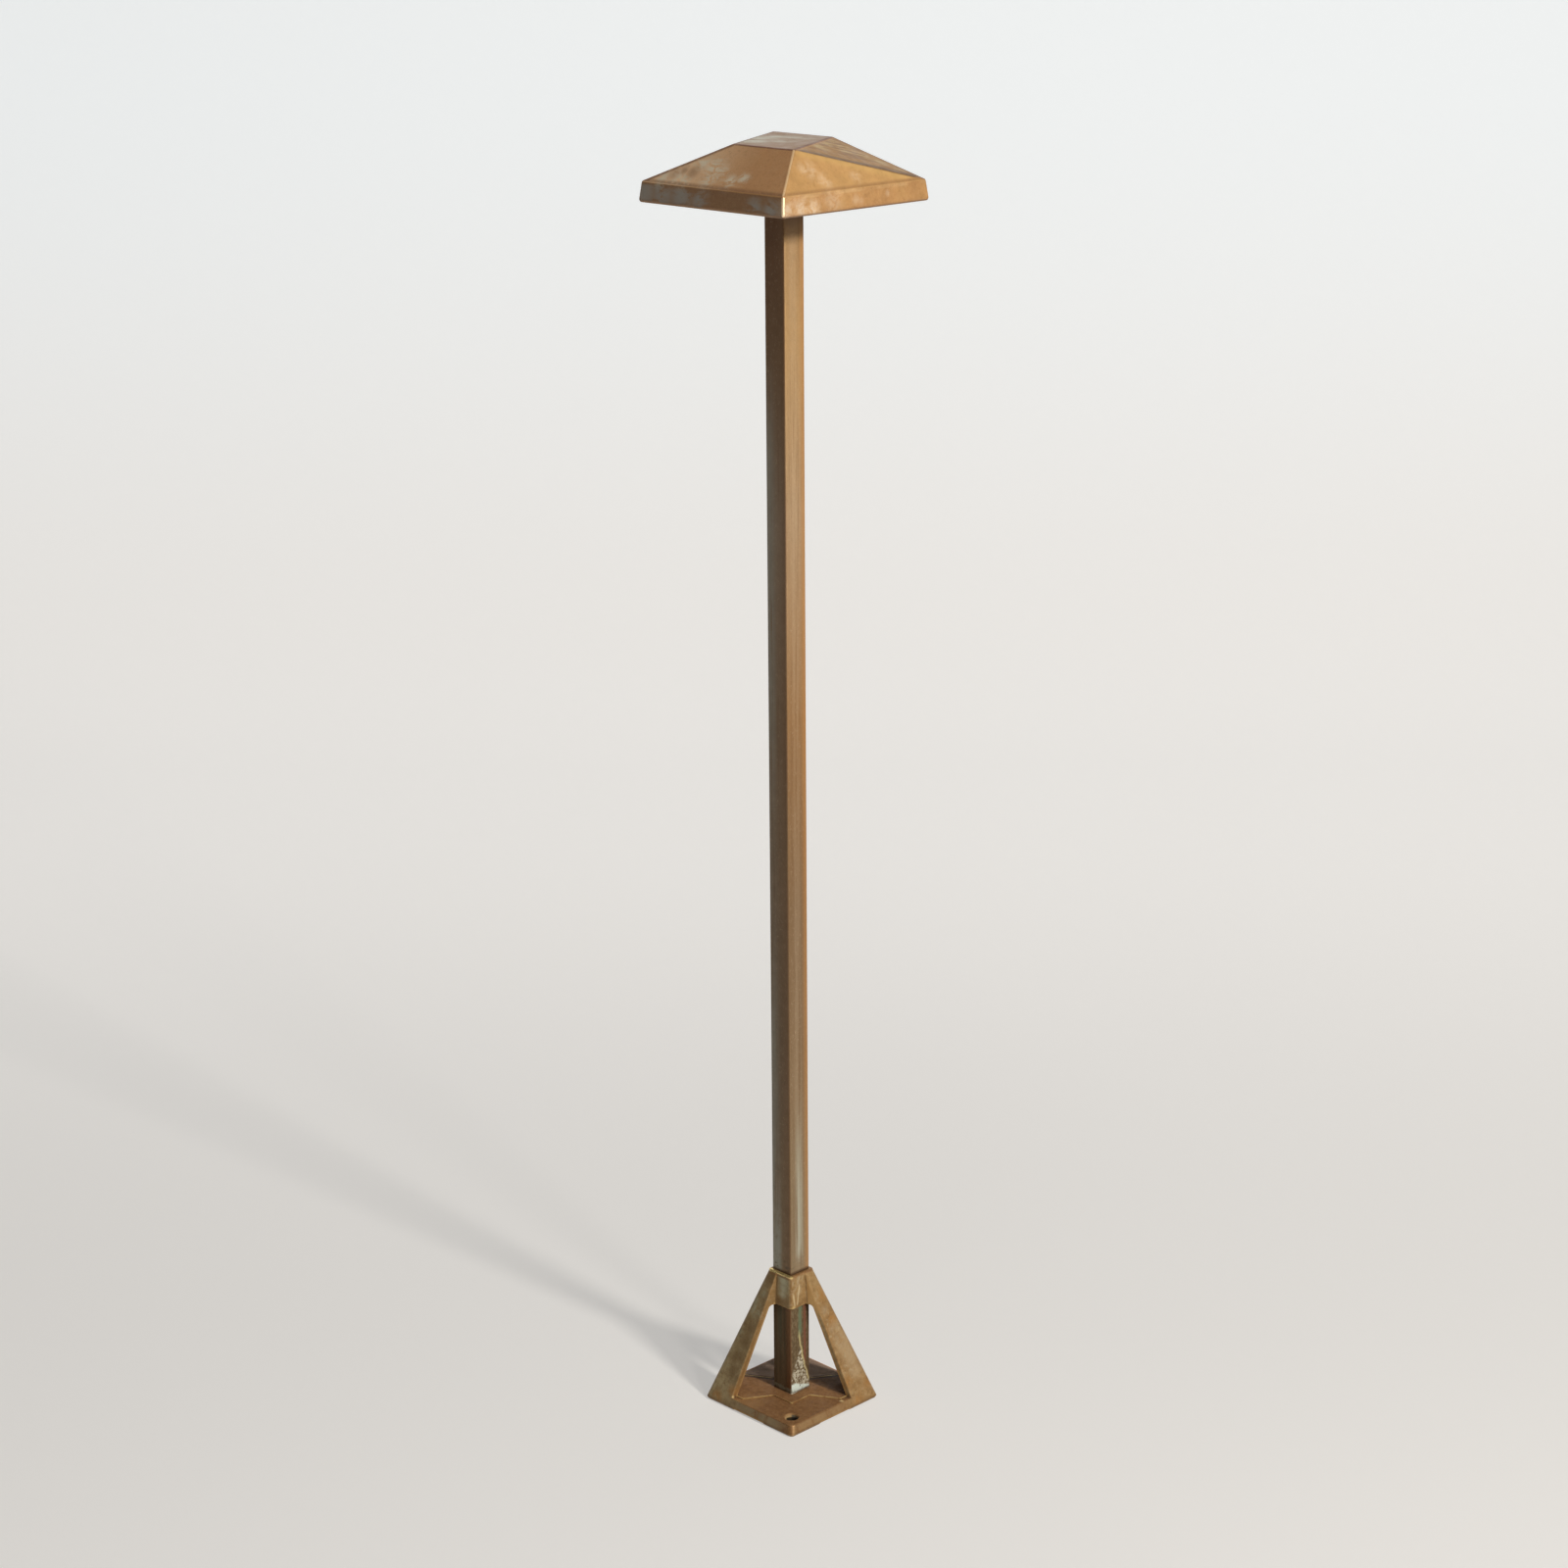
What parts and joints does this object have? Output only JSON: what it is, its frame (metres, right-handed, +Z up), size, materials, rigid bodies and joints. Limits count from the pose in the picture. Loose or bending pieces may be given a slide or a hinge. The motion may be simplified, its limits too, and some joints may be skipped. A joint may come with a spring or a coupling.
{
  "type": "path light",
  "caption": "Cast brass garden path light: faceted skewed hat over a hidden plug-in lamp, on a square post held in the collar of a pyramid foot with angle legs and a screw-down plate.",
  "frame": {"origin": "on the ground under the middle of the foot plate, on the post axis", "axes": "+Z up along the post; X and Y along the sides of the foot plate and of the hat; the legs stand at the -X -Y and +X +Y corners"},
  "size_m": [0.0912, 0.0912, 0.6122],
  "materials": {
    "foot_brass": "weathered cast brass with brown patina",
    "post_brass": "weathered drawn brass with brown and green patina",
    "hat_brass": "weathered cast brass with grey-green patina",
    "fitting_brass": "plain brass",
    "screw_steel": "stainless steel",
    "bush_rubber": "black rubber",
    "socket_ceramic": "white ceramic",
    "contact_metal": "tinned metal",
    "lead_red": "red insulation",
    "lead_black": "black insulation",
    "lamp_plastic": "white moulded plastic",
    "board_white": "white circuit board",
    "led_chip": "yellow phosphor",
    "lamp_cover": "frosted cover"
  },
  "bodies": {
    "base": {"base_casting": "foot_brass", "cable_grommet": "bush_rubber", "collar_set_screws": "screw_steel"},
    "post": {"post_tube": "post_brass", "post_plug": "fitting_brass", "plug_screw": "screw_steel", "lamp_bracket": "fitting_brass", "bracket_screw": "screw_steel", "lamp_socket": "socket_ceramic", "socket_contacts": "contact_metal", "socket_screws": "screw_steel", "lead_positive": "lead_red", "lead_negative": "lead_black"},
    "hat": {"hat_casting": "hat_brass", "hat_set_screws": "screw_steel"},
    "lamp": {"lamp_back": "lamp_plastic", "lamp_pins": "contact_metal", "lamp_board": "board_white", "lamp_leds": "led_chip", "lamp_cover": "lamp_cover"}
  },
  "joints": [
    {"name": "post_lift", "type": "slide", "parent": "base", "child": "post", "axis": [0, 0, 1], "range_m": [0, 0.06]},
    {"name": "hat_lift", "type": "slide", "parent": "post", "child": "hat", "axis": [0, 0, 1], "range_m": [0, 0.04]},
    {"name": "lamp_pull", "type": "slide", "parent": "post", "child": "lamp", "axis": [0, 1, 0], "range_m": [0, 0.0055]}
  ]
}
